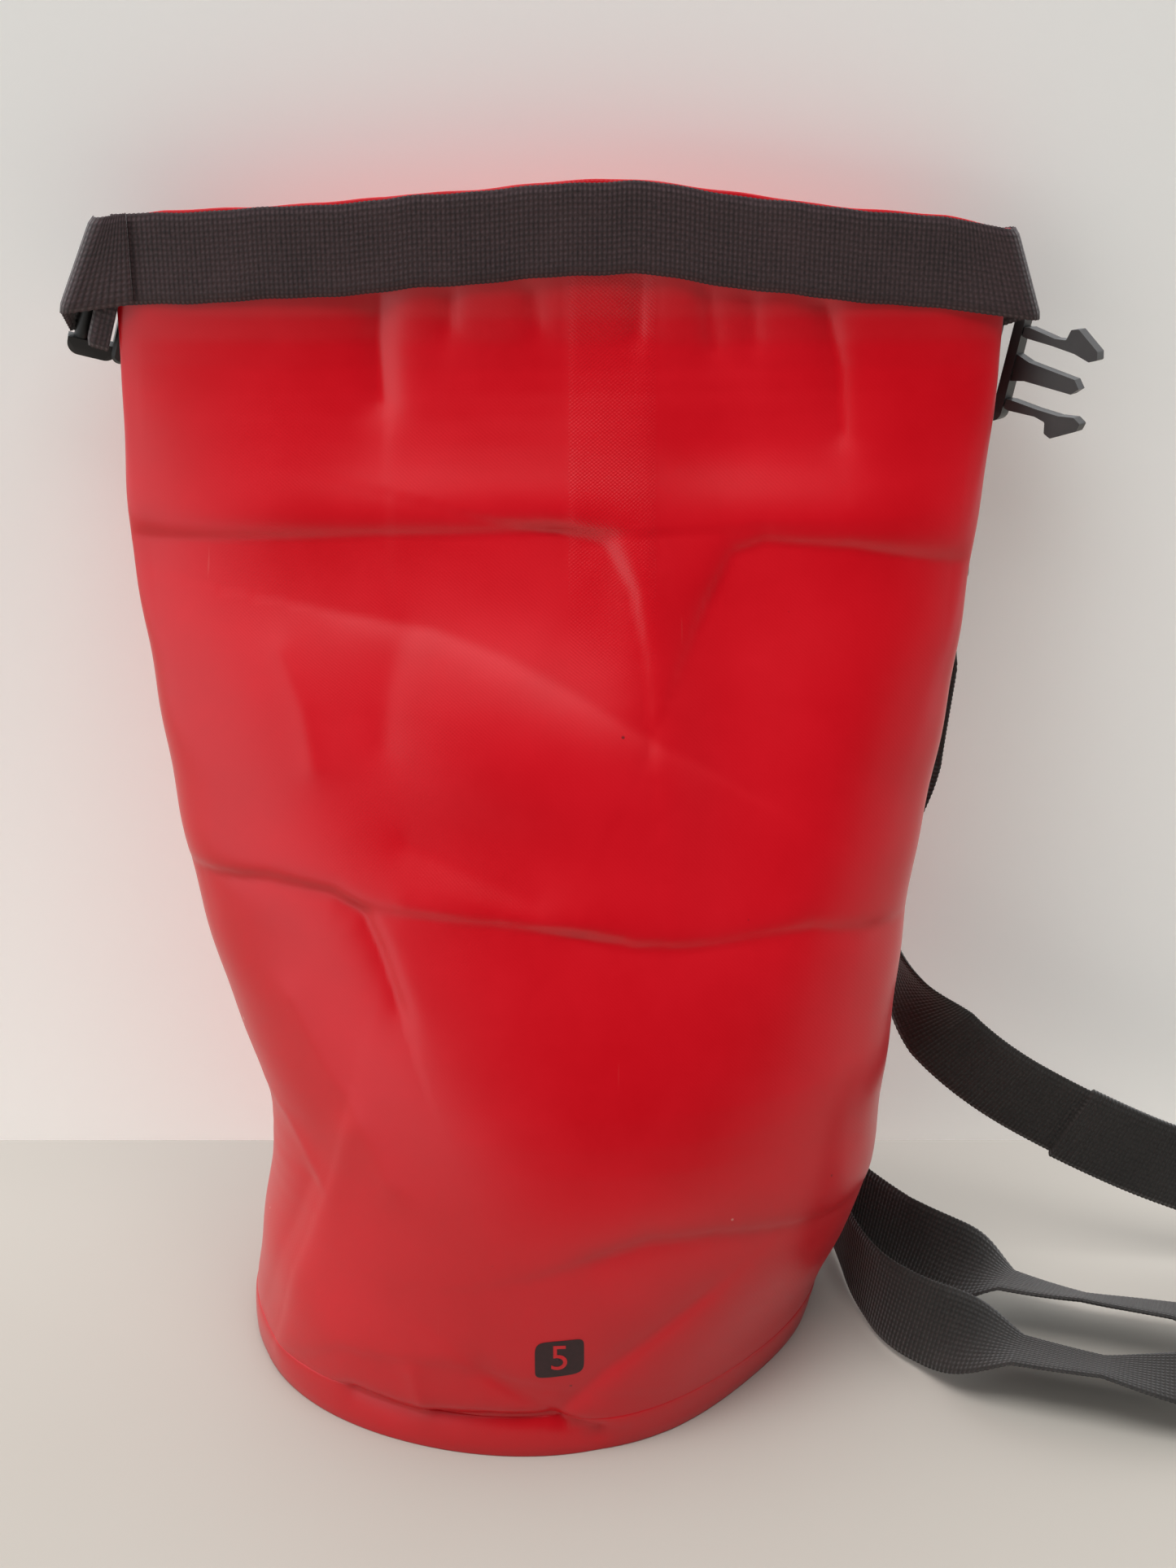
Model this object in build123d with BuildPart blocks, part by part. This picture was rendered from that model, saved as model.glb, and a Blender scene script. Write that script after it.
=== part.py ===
"""A five litre roll-top dry bag, standing empty with its mouth unrolled.

Frame: +Z up, origin at the middle of the foot on the ground, the front faces -Y.
Units are millimetres.
"""
from build123d import *
import os
from math import cos, radians, sin, sqrt

os.makedirs("parts", exist_ok=True)

# ---------------------------------------------------------------- driving dimensions
# Level cuts through the standing bag: height, centre x, centre y, half width, half depth.
# The sheet's girth is about 500 at every one: round at the foot and flat at the mouth. It is
# creased across at each cut, most of all above the hollow at 228, where it had been rolled down.
LEVELS = [
    (0, 4, -6, 86, 74),
    (20, 8, -9, 89, 71),
    (65, 18, -9, 91, 67),
    (105, 15, -4, 97, 60),
    (150, 11, 8, 105, 47),
    (200, 11, 24, 115.5, 33),
    (228, 11.2, 34.3, 119.7, 22.7),
    (243, 11.6, 37.6, 121.7, 19.5),
    (270, 12.5, 46.5, 123.4, 11),
    (291, 13.2, 52, 124.3, 6.5),
]
sheet = 1.2                 # coated fabric with its backing, thicker than real so that it prints
disc_thickness = 1.2
rim_height = 11.0
rim_thickness = 1.0
fold_height = LEVELS[-1][0]
mouth_x, mouth_y, mouth_half_width, mouth_half_depth = LEVELS[-1][1:]
fold_gap = 0.6

webbing_width = 25.0
webbing = 1.5
stiffener_thickness = 0.8
strip_left = (-112.0, 325.0)     # x and height of the closure strip's upper corners
strip_top = (25.0, 335.5)
strip_right = (138.5, 321.3)
strip_height = 25.5
hem_rise = 1.6                   # fabric standing above the strip

tab_tilt = 17.0                  # lean of the left fold line from upright, degrees
right_tilt = 19.6                # and of the right one, the other way
female_swing = 10.0              # how far the socket half is turned back behind the bag
male_tilt = 10.0
male_swing = 37.0                # how far the plug half is turned forward, past the bag's side
bar_radius = 2.2
buckle_half_width = 18.0
slot_half_width = 13.3
frame_thickness = 5.0
housing_thickness = 9.5
housing_start = 9.0
housing_end = 43.0

ring_width = 34.0
ring_height = 15.0
ring_bar = 3.6
ring_slot = (26.6, 7.8)

strap_thickness = 1.6


def ellipse_at(level, grow):
    """The face of one level cut, grown outwards by a distance."""
    height, x, y, half_width, half_depth = level
    with BuildSketch(Plane.XY.offset(height)) as cut:
        with Locations((x, y)):
            Ellipse(half_width + grow, half_depth + grow)
    return cut.sketch


def blend_level(height):
    """A level cut between two listed ones."""
    for low, high in zip(LEVELS, LEVELS[1:]):
        if low[0] <= height <= high[0]:
            share = (height - low[0]) / (high[0] - low[0])
            return tuple(a + share * (b - a) for a, b in zip(low, high))
    return LEVELS[-1]


def back_of_bag(x, height):
    """The y of the bag's back face at a place."""
    _, middle, y, half_width, half_depth = blend_level(height)
    return y + half_depth * sqrt(1 - ((x - middle) / half_width) ** 2)


def bag_body(grow):
    """The closed body of the bag, grown by a distance."""
    with BuildPart(mode=Mode.PRIVATE) as body:
        loft([ellipse_at(level, grow) for level in LEVELS], ruled=True)
    return body.part


outer_body = bag_body(0)
inner_body = bag_body(-sheet)

# ---------------------------------------------------------------- half spaces
# The side creases run up the level cuts' centres; this solid is all that lies before them.
with BuildPart() as before_creases:
    with BuildSketch(Plane.YZ):
        with BuildLine():
            crease = Polyline(*[(level[2], level[0]) for level in LEVELS])
            Polyline(crease @ 1, (52, 400), (-300, 400), (-300, -10), (-6, -10), crease @ 0)
        make_face()
    extrude(amount=300, both=True)

# ---------------------------------------------------------------- foot
with BuildPart() as base_disc:
    add(outer_body)
    split(bisect_by=Plane.XY.offset(disc_thickness), keep=Keep.BOTTOM)
base_disc.part.label = "base_disc"

with BuildPart() as base_rim:
    add(bag_body(rim_thickness + 0.1))
    add(bag_body(0.1), mode=Mode.SUBTRACT)
    split(bisect_by=Plane.XY.offset(rim_height), keep=Keep.BOTTOM)
base_rim.part.label = "base_rim"

# ---------------------------------------------------------------- wall, in two halves
with BuildPart() as front_wall:
    add(outer_body)
    add(inner_body, mode=Mode.SUBTRACT)
    add(before_creases.part, mode=Mode.INTERSECT)
    split(bisect_by=Plane.XY.offset(disc_thickness), keep=Keep.TOP)
front_wall.part.label = "front_wall"

with BuildPart() as back_wall:
    add(outer_body)
    add(inner_body, mode=Mode.SUBTRACT)
    add(before_creases.part, mode=Mode.SUBTRACT)
    split(bisect_by=Plane.XY.offset(disc_thickness), keep=Keep.TOP)
back_wall.part.label = "back_wall"


# ---------------------------------------------------------------- mouth
def arched_band(rise, drop, left, right):
    """Front view of a band that follows the arched mouth, from rise above to drop below it."""
    with BuildPart(mode=Mode.PRIVATE) as band:
        with BuildSketch(Plane.XZ):
            with BuildLine():
                ends = [(x, z + rise) for x, z in (strip_left, strip_top, strip_right)]
                arch = ThreePointArc(*ends)
                if drop is None:
                    Polyline(arch @ 1, (strip_right[0], fold_height), (strip_left[0], fold_height), arch @ 0)
                else:
                    low = [(x, z - drop) for x, z in (strip_left, strip_top, strip_right)]
                    under = ThreePointArc(*low)
                    Line(arch @ 0, under @ 0)
                    Line(arch @ 1, under @ 1)
            make_face()
        extrude(amount=-200)
        with Locations(((left + right) / 2, 100, 300)):
            Box(right - left, 300, 200, mode=Mode.INTERSECT)
    return band.part


def mouth_layer(inside, outside, front):
    """Half of the flat oval between two offsets from the mouth's outline, as a tall sleeve."""
    side = -1 if front else 1
    with BuildPart(mode=Mode.PRIVATE) as sleeve:
        with BuildSketch(Plane.XY.offset(fold_height + fold_gap)):
            with Locations((mouth_x, mouth_y)):
                Ellipse(mouth_half_width + outside, mouth_half_depth + outside)
                Ellipse(mouth_half_width + inside, mouth_half_depth + inside, mode=Mode.SUBTRACT)
            with Locations((mouth_x, mouth_y + side * 50)):
                Rectangle(400, 100, mode=Mode.INTERSECT)
        extrude(amount=60)
    return sleeve.part


hem_band = arched_band(hem_rise, None, -130, 160)
with BuildPart() as front_hem:
    add(mouth_layer(-sheet, 0, True))
    add(hem_band, mode=Mode.INTERSECT)
front_hem.part.label = "front_hem"

with BuildPart() as back_hem:
    add(mouth_layer(-sheet, 0, False))
    add(hem_band, mode=Mode.INTERSECT)
back_hem.part.label = "back_hem"

with BuildPart() as stiffener:
    add(mouth_layer(0.1, 0.1 + stiffener_thickness, True))
    add(arched_band(-3, strip_height - 3, -95, 122), mode=Mode.INTERSECT)
stiffener.part.label = "stiffener"

strip_inside = 0.2 + stiffener_thickness
with BuildPart() as closure_webbing:
    add(mouth_layer(strip_inside, strip_inside + webbing, True))
    add(arched_band(0, strip_height, strip_left[0], strip_right[0]), mode=Mode.INTERSECT)
closure_webbing.part.label = "closure_webbing"


# ---------------------------------------------------------------- webbing ends
def webbing_bend(plane, points, radii, width):
    """Webbing of a given width whose edge follows a line in a plane."""
    with BuildPart(mode=Mode.PRIVATE) as strip:
        with BuildSketch(plane):
            with BuildLine():
                run = FilletPolyline(*points, radius=radii)
            trace(run, line_width=webbing)
        extrude(amount=width / 2, both=True)
    return strip.part


def front_leg(corners):
    """The flat end of the strip that lies in front of a fold, from its corners in front view."""
    with BuildPart(mode=Mode.PRIVATE) as leg:
        with BuildSketch(Plane.XZ.offset(front_leg_depth)):
            Polygon(*corners, align=None)
        extrude(amount=webbing / 2, both=True)
    return leg.part


front_leg_depth = 4.1 - mouth_y      # the leg's middle lies 4.1 before the middle of the mouth
lean = radians(tab_tilt)
# x runs outwards to the left from the buckle's bar, y towards the back, and the webbing's width
# is the normal
left_bar = (-120.5, mouth_y + 6.5, 302.2)
left_plane = Plane(origin=(left_bar[0], mouth_y, left_bar[2]), x_dir=(-cos(lean), 0, sin(lean)),
                   z_dir=(-sin(lean), 0, -cos(lean)))
wrap = bar_radius + 0.4 + webbing / 2
with BuildPart() as left_tab:
    add(webbing_bend(left_plane,
                     [(-6, -4.1), (wrap, -4.1), (wrap, 6.5 + wrap), (-wrap, 6.5 + wrap), (-wrap, -2.5),
                      (-5.4, -2.5)],
                     [5.0, wrap - 0.05, wrap - 0.05, 1.6], webbing_width))
    add(front_leg([(-107, 326.3), (-117.6, 324.6), (-120.9, 313.8), (-124.0, 300.0), (-107, 300.8)]))
left_tab.part.label = "left_tab"

right_lean = radians(right_tilt)
right_plane = Plane(origin=(140.3, mouth_y, 306.8), x_dir=(cos(right_lean), 0, sin(right_lean)),
                    z_dir=(-sin(right_lean), 0, cos(right_lean)))
with BuildPart() as right_tab:
    add(webbing_bend(right_plane, [(-5, -4.1), (4.3, -4.1), (4.3, 4.1), (-26, 5.4)],
                     [3.9, 3.6], 26.4))
    add(front_leg([(133, 322.3), (137.0, 321.6), (136.3, 319.3), (145.1, 294.5), (133, 297.0)]))
right_tab.part.label = "right_tab"

male_lean = radians(male_tilt)
male_bar = (136.0, mouth_y + 16.5, 281.5)
male_across = Plane(origin=male_bar, x_dir=(cos(male_lean), 0, -sin(male_lean)),
                    z_dir=(sin(male_lean), 0, cos(male_lean)))
with BuildPart() as male_strap:
    add(webbing_bend(male_across,
                     [(-36, -8.6), (wrap, -wrap), (wrap, wrap + 0.7), (-36, -4.5)],
                     [wrap - 0.6, wrap - 0.3], webbing_width))
male_strap.part.label = "male_strap"

# ---------------------------------------------------------------- female buckle half
# Sketch plane: x runs from the bar to the mouth of the socket and y along the bar.
swing = radians(female_swing)
bar_way = (sin(lean), 0, cos(lean))
female_plane = Plane(origin=left_bar,
                     x_dir=(cos(lean) * cos(swing), sin(swing), -sin(lean) * cos(swing)),
                     z_dir=(cos(lean) * sin(swing), -cos(swing), -sin(lean) * sin(swing)))
socket_half_width = 13.4
with BuildPart() as female_buckle:
    with BuildSketch(female_plane):
        with BuildLine():
            waist = ThreePointArc((housing_start, buckle_half_width), (24, buckle_half_width - 1.8),
                                  (housing_end, buckle_half_width - 0.6))
            Line(waist @ 1, (housing_end, 0))
            Line(waist @ 0, (housing_start, 0))
            mirror(about=Plane.XZ)
        make_face()
    extrude(amount=housing_thickness / 2, both=True)
    across = Axis(left_bar, female_plane.z_dir)
    fillet(female_buckle.edges().filter_by(across), 2.5)
    chamfer(female_buckle.edges().group_by(across)[0] + female_buckle.edges().group_by(across)[-1], 1.0)
    with BuildSketch(female_plane):
        with Locations((3.5, 0)):
            RectangleRounded(14.5, 2 * buckle_half_width, 3.6)
        with Locations((3.1, 0)):
            Rectangle(11.8, 2 * slot_half_width, mode=Mode.SUBTRACT)
        with Locations((-2, 0)):
            Rectangle(12, 2 * slot_half_width, mode=Mode.SUBTRACT)
    extrude(amount=frame_thickness / 2, both=True)
    # the socket, open at the mouth end
    with BuildSketch(female_plane):
        with Locations(((13 + housing_end + 2) / 2, 0)):
            Rectangle(housing_end + 2 - 13, 2 * socket_half_width)
    extrude(amount=2.9, both=True, mode=Mode.SUBTRACT)
    # the two side windows that the prongs are pressed through
    with BuildSketch(female_plane):
        with Locations((23.5, 15), (23.5, -15)):
            SlotOverall(13, 7)
    extrude(amount=2.9, both=True, mode=Mode.SUBTRACT)
    # shallow oval in each broad face
    for face_side in (1, -1):
        with BuildSketch(female_plane.offset(face_side * housing_thickness / 2)):
            with Locations((25.5, 0)):
                Ellipse(10.5, 7.5)
        extrude(amount=-face_side * 0.5, mode=Mode.SUBTRACT)
    with BuildSketch(Plane(origin=left_bar, z_dir=bar_way)):
        Circle(bar_radius)
    extrude(amount=slot_half_width + 0.5, both=True)
female_buckle.part.label = "female_buckle"

# ---------------------------------------------------------------- male buckle half
turn = radians(male_swing)
male_plane = Plane(origin=male_bar,
                   x_dir=(cos(male_lean) * cos(turn), -sin(turn), -sin(male_lean) * cos(turn)),
                   z_dir=(-cos(male_lean) * sin(turn), -cos(turn), sin(male_lean) * sin(turn)))
male_depth = 4.6
prong_root = (14.0, 10.6)
with BuildPart() as male_buckle:
    with BuildSketch(male_plane):
        with Locations((4.2, 0)):
            RectangleRounded(15.2, 2 * 17.0, 3.4)
        with Locations((3.1, 0)):
            Rectangle(11.4, 2 * slot_half_width, mode=Mode.SUBTRACT)
        with Locations((-2, 0)):
            Rectangle(12, 2 * slot_half_width, mode=Mode.SUBTRACT)
    extrude(amount=frame_thickness / 2, both=True)
    with BuildSketch(male_plane):
        with BuildLine():
            tongue = Polyline((11, 4.2), (16, 2.8), (31, 2.2), (33, 0))
            mirror(tongue, about=Plane.XZ)
            Line((11, 4.2), (11, -4.2))
        make_face()
    extrude(amount=2.0, both=True)
    with BuildSketch(Plane(origin=male_bar, z_dir=(sin(male_lean), 0, cos(male_lean)))):
        Circle(bar_radius)
    extrude(amount=slot_half_width + 0.5, both=True)
male_buckle.part.label = "male_buckle"

with BuildPart() as upper_prong:
    with BuildSketch(male_plane):
        with BuildLine():
            Polyline((12.1, 12.1), (13.6, 12.4), (22, 11.6), (25.5, 12.2), (26.2, 15.4), (28.4, 16.2),
                     (35.6, 11.8), (36.2, 9.4), (33.8, 8.2), (29, 9.2), (22, 9.4), (13.6, 9.2),
                     (12.1, 9.4), close=True)
        make_face()
        fillet(vertices().filter_by(lambda corner: corner.X > 24), 0.6)
    extrude(amount=2.2, both=True)
upper_prong.part.label = "upper_prong"

with BuildPart() as lower_prong:
    add(mirror(upper_prong.part, about=Plane(origin=male_bar, z_dir=male_plane.y_dir),
               mode=Mode.PRIVATE))
lower_prong.part.label = "lower_prong"


# ---------------------------------------------------------------- rear anchors
def turned_plane(place, turn):
    """A plane that stands upright, its x across the anchor and its normal away from the bag."""
    angle = radians(turn)
    return Plane(origin=place, x_dir=(-cos(angle), sin(angle), 0), z_dir=(sin(angle), cos(angle), 0))


def anchor_parts(place, turn, patch_size, patch_rise, loop_top):
    """The patch, the webbing loop and the ring that hangs in it; place is the ring's upper bar."""
    plane = turned_plane(place, turn)
    side_on = Plane(origin=place, x_dir=plane.z_dir, z_dir=plane.x_dir * -1)
    with BuildPart(mode=Mode.PRIVATE) as patch:
        with BuildSketch(plane.offset(12)):
            with Locations((0, patch_rise)):
                RectangleRounded(*patch_size, 6)
        extrude(amount=-34)
        add(bag_body(0.9), mode=Mode.INTERSECT)
        add(bag_body(0.1), mode=Mode.SUBTRACT)
        add(before_creases.part, mode=Mode.SUBTRACT)
    gap = ring_bar / 2 + 0.55 + webbing / 2
    with BuildPart(mode=Mode.PRIVATE) as loop:
        with BuildSketch(side_on):
            with BuildLine():
                legs = FilletPolyline((loop_top[0] - webbing - 0.2, loop_top[1]), (-gap, 3), (-gap, -gap),
                                      (gap, -gap), (gap, 3), (loop_top[0], loop_top[1]),
                                      radius=[4, gap - 0.02, gap - 0.02, 4])
            trace(legs, line_width=webbing)
        extrude(amount=webbing_width / 2, both=True)
    with BuildPart(mode=Mode.PRIVATE) as ring:
        with BuildSketch(plane):
            with Locations((0, ring_bar / 2 - ring_height / 2)):
                RectangleRounded(ring_width, ring_height, 3.4)
                RectangleRounded(*ring_slot, 0.8, mode=Mode.SUBTRACT)
        extrude(amount=ring_bar / 2, both=True)
        chamfer(ring.edges().filter_by(lambda e: e.length > ring_height / 3), 0.7)
    return patch.part, loop.part, ring.part


upper_turn = 23.0
upper_place = (118.0, 57.5, 230.0)
upper_patch, upper_anchor, upper_ring = anchor_parts(upper_place, upper_turn, (36, 44), 22, (-1.5, 34))
lower_turn = 42.0
lower_place = (90.0, 45.0, 59.0)
lower_patch, lower_anchor, lower_ring = anchor_parts(lower_place, lower_turn, (36, 40), 20, (-3.0, 30))

# ---------------------------------------------------------------- shoulder strap
def ring_fold(place, turn):
    """Webbing folded round a ring's lower bar, with a short double tail."""
    plane = turned_plane(place, turn)
    side_on = Plane(origin=place, x_dir=plane.z_dir, z_dir=plane.x_dir * -1)
    gap = ring_bar / 2 + 0.55 + strap_thickness / 2
    bar_height = -(ring_height - ring_bar)
    with BuildPart(mode=Mode.PRIVATE) as fold:
        with BuildSketch(side_on):
            with BuildLine():
                legs = FilletPolyline((-1.0, bar_height - 13), (-gap, bar_height - 4),
                                      (-gap, bar_height + gap), (gap, bar_height + gap),
                                      (gap, bar_height - 4), (1.0, bar_height - 13),
                                      radius=[3, gap - 0.02, gap - 0.02, 3])
            trace(legs, line_width=strap_thickness)
        extrude(amount=webbing_width / 2, both=True)
    return fold.part


strap_upper_loop = ring_fold(upper_place, upper_turn)
strap_lower_loop = ring_fold(lower_place, lower_turn)


def easy_radii(points):
    """The largest arc at each corner that leaves its two runs a tenth of straight between arcs."""
    radii = []
    for before, corner, after in zip(points, points[1:], points[2:]):
        first = Vector(corner) - Vector(before)
        second = Vector(after) - Vector(corner)
        half_turn = radians(first.get_angle(second)) / 2
        radii.append(0.45 * min(first.length, second.length) * cos(half_turn) / sin(half_turn))
    return radii


def strap_run(points, edge_on):
    """Flat webbing swept along a route; edge_on is the direction of its width at the start."""
    radii = easy_radii(points)
    print("strap radii", [round(radius) for radius in radii])
    with BuildPart(mode=Mode.PRIVATE) as run:
        with BuildLine() as route:
            FilletPolyline(*points, radius=radii)
        with BuildSketch(Plane(origin=route.line @ 0, x_dir=edge_on, z_dir=route.line % 0)):
            Rectangle(webbing_width, strap_thickness)
        sweep(path=route.line)
    length = Wire(route.line.edges()).length
    print("strap length", round(length), "volume share",
          round(run.part.volume / (webbing_width * strap_thickness * length), 3))
    return run.part


# From the upper ring down behind the right crease, out to the right, round, and back along the
# ground through the slider to the lower ring.
strap_main_route = [
    (118, 57.5, 204), (115, 53, 182), (111, 44, 156), (110, 35, 130), (114, 28, 106), (125, 24, 84),
    (145, 21, 65), (172, 19, 49), (206, 15, 34), (246, 12, 23), (290, 12, 18), (326, 4, 17.6),
    (346, -18, 17.6), (338, -44, 17.6), (308, -55.9, 17.6), (270, -55.8, 17.6), (236, -46, 16.5),
    (200, -32, 14.5), (164, -22, 13.2), (134, -8, 14), (114, 12, 17), (102, 33, 17), (92, 44, 22),
]
strap_main = strap_run(strap_main_route, (0.92, -0.39, 0))

# The doubled end, from the slider back to the lower ring.
strap_return_route = [
    (275, -61.6, 17.6), (250, -64, 16.5), (222, -66, 14), (194, -62, 13), (164, -54, 13),
    (136, -44, 13), (114, -30, 13.4), (104, -8, 14), (101, 14, 15), (97, 33, 16), (89, 46, 22),
]
strap_return = strap_run(strap_return_route, (0, 0, 1))

# ---------------------------------------------------------------- strap slider
slider_place = (288.0, -58.8, 17.6)
with BuildPart() as strap_slider:
    with BuildSketch(Plane(origin=slider_place, x_dir=(1, 0, 0), z_dir=(0, -1, 0))):
        RectangleRounded(23, ring_width, 4)
        with Locations((-5.2, 0), (5.2, 0)):
            RectangleRounded(6.2, 26.6, 1, mode=Mode.SUBTRACT)
    extrude(amount=1.9, both=True)
strap_slider.part.label = "strap_slider"

# ---------------------------------------------------------------- files
made = {
    "base_disc": base_disc.part,
    "base_rim": base_rim.part,
    "front_wall": front_wall.part,
    "back_wall": back_wall.part,
    "front_hem": front_hem.part,
    "back_hem": back_hem.part,
    "stiffener": stiffener.part,
    "closure_webbing": closure_webbing.part,
    "left_tab": left_tab.part,
    "right_tab": right_tab.part,
    "male_strap": male_strap.part,
    "female_buckle": female_buckle.part,
    "male_buckle": male_buckle.part,
    "upper_prong": upper_prong.part,
    "lower_prong": lower_prong.part,
    "upper_patch": upper_patch,
    "upper_anchor": upper_anchor,
    "upper_ring": upper_ring,
    "lower_patch": lower_patch,
    "lower_anchor": lower_anchor,
    "lower_ring": lower_ring,
    "strap_upper_loop": strap_upper_loop,
    "strap_lower_loop": strap_lower_loop,
    "strap_main": strap_main,
    "strap_return": strap_return,
    "strap_slider": strap_slider.part,
}
for name, solid in made.items():
    solid.label = name
    export_step(solid, f"parts/{name}.step")
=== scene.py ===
"""Looks for a five litre roll-top dry bag that stands empty with its mouth unrolled."""

from math import cos, pi, radians, sin

import bpy
import numpy as np
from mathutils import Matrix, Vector


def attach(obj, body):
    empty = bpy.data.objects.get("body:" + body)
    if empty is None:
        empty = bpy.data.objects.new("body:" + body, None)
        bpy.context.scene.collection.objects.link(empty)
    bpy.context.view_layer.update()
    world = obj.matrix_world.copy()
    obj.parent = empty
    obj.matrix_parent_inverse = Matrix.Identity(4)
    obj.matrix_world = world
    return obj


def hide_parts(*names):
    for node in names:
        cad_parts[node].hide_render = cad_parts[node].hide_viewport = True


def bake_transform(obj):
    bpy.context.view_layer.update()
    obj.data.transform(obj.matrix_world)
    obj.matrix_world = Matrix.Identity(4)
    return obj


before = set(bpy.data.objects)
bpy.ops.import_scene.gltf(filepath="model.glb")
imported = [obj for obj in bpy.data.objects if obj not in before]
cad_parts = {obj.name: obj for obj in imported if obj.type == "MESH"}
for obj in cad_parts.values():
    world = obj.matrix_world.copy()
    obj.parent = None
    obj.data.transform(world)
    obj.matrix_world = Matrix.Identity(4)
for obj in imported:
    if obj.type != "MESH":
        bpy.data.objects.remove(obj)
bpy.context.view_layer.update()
mm = 0.001

# ---------------------------------------------------------------- camera
# A phone's standard lens, held a little above the bag and tipped down, so that the whole bag and
# the near end of its strap are in view.
camera_tip = radians(25.0)
camera_data = bpy.data.cameras.new("camera")
camera_data.sensor_fit = "VERTICAL"
camera_data.sensor_height = 36.0
camera_data.lens = 54.1
camera = bpy.data.objects.new("camera", camera_data)
camera.location = (0.021, -0.609, 0.459)
camera.rotation_euler = (radians(90.0) - camera_tip, 0.0, 0.0)
bpy.context.scene.collection.objects.link(camera)
bpy.context.scene.camera = camera


# ---------------------------------------------------------------- shoulder strap
# One long 25 mm polyester webbing and its doubled end. The webbing runs from the upper rear ring
# down behind the bag, out along the ground, through the slider and back to the lower ring.
def linear(colour):
    """A colour written as sRGB hex, as linear red, green, blue and alpha."""
    parts = [int(colour[i:i + 2], 16) / 255 for i in (1, 3, 5)]
    return [c / 12.92 if c < 0.04045 else ((c + 0.055) / 1.055) ** 2.4 for c in parts] + [1.0]


def add_node(tree, kind, values=None, links=None, **settings):
    """Adds one shader node with its settings, socket values and incoming links."""
    node = tree.nodes.new(kind)
    for key, value in settings.items():
        setattr(node, key, value)
    for key, value in (values or {}).items():
        node.inputs[key].default_value = value
    for key, source in (links or {}).items():
        tree.links.new(source, node.inputs[key])
    return node


def start_material(name):
    """An empty material with its shader: the material, its tree and the Principled node."""
    material = bpy.data.materials.new(name)
    material.use_nodes = True
    tree = material.node_tree
    return material, tree, tree.nodes["Principled BSDF"]


def sine_of(tree, source, pitch):
    """The sine of a length in metres, with a pitch in metres."""
    turn = add_node(tree, "ShaderNodeMath", {1: 2 * pi / pitch}, {0: source}, operation="MULTIPLY")
    return add_node(tree, "ShaderNodeMath", links={0: turn.outputs[0]}, operation="SINE").outputs[0]


def webbing_material(name, dark, light, rib_pitch, roughness, contrast=0.16):
    """Woven polyester webbing: matt black yarn in ribs across the width, paler where fibres fray."""
    material, tree, shader = start_material(name)
    place = add_node(tree, "ShaderNodeUVMap", uv_map="UVMap")
    split = add_node(tree, "ShaderNodeSeparateXYZ", links={0: place.outputs[0]})
    ribs = sine_of(tree, split.outputs["X"], rib_pitch)
    row_pitch = 1.55 * mm
    rows = sine_of(tree, split.outputs["Y"], row_pitch)
    weave = add_node(tree, "ShaderNodeMath", links={0: ribs, 1: rows}, operation="MULTIPLY")
    relief = add_node(tree, "ShaderNodeMath", {1: 0.7}, {0: weave.outputs[0], 2: rows},
                      operation="MULTIPLY_ADD")
    relief = add_node(tree, "ShaderNodeMath", {1: 0.6}, {0: relief.outputs[0], 2: ribs},
                      operation="MULTIPLY_ADD")
    # Noise scales are cells to the metre: tufts of fibre about 1 mm wide, drawn coarser than the
    # real ones so that they show, and clouds of dust about 22 mm wide.
    fibre = add_node(tree, "ShaderNodeTexNoise", {"Scale": 900.0, "Detail": 6.0, "Roughness": 0.7},
                     {"Vector": place.outputs[0]})
    dust = add_node(tree, "ShaderNodeTexNoise", {"Scale": 45.0, "Detail": 5.0, "Roughness": 0.65},
                    {"Vector": place.outputs[0]})
    tone = add_node(tree, "ShaderNodeMath", {1: contrast}, {0: relief.outputs[0], 2: fibre.outputs[0]},
                    operation="MULTIPLY_ADD")
    tone = add_node(tree, "ShaderNodeMath", {1: 0.5}, {0: dust.outputs[0], 2: tone.outputs[0]},
                    operation="MULTIPLY_ADD")
    ramp = add_node(tree, "ShaderNodeValToRGB", links={0: tone.outputs[0]})
    ramp.color_ramp.elements[0].position = 0.45
    ramp.color_ramp.elements[0].color = linear(dark)
    ramp.color_ramp.elements[1].position = 1.0
    ramp.color_ramp.elements[1].color = linear(light)
    tree.links.new(ramp.outputs[0], shader.inputs["Base Color"])
    height = add_node(tree, "ShaderNodeMath", {1: 0.35}, {0: fibre.outputs[0], 2: relief.outputs[0]},
                      operation="MULTIPLY_ADD")
    bump = add_node(tree, "ShaderNodeBump", {"Strength": 0.6, "Distance": 0.25 * mm},
                    {"Height": height.outputs[0]})
    tree.links.new(bump.outputs[0], shader.inputs["Normal"])
    shader.inputs["Roughness"].default_value = roughness
    shader.inputs["Sheen Weight"].default_value = 0.25
    shader.inputs["Sheen Roughness"].default_value = 0.5
    return material


def mesh_piece(name, points, faces, material, uvs=None):
    """A mesh object from points in metres; uvs has one pair for each point."""
    mesh = bpy.data.meshes.new(name)
    mesh.from_pydata([tuple(p) for p in points], [], faces)
    mesh.update()
    if uvs is not None:
        layer = mesh.uv_layers.new(name="UVMap")
        corners = np.empty(len(mesh.loops), np.int32)
        mesh.loops.foreach_get("vertex_index", corners)
        layer.data.foreach_set("uv", np.asarray(uvs, np.float32)[corners].ravel())
    mesh.polygons.foreach_set("use_smooth", [True] * len(mesh.polygons))
    piece = bpy.data.objects.new(name, mesh)
    bpy.context.scene.collection.objects.link(piece)
    mesh.materials.append(material)
    return piece


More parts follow.
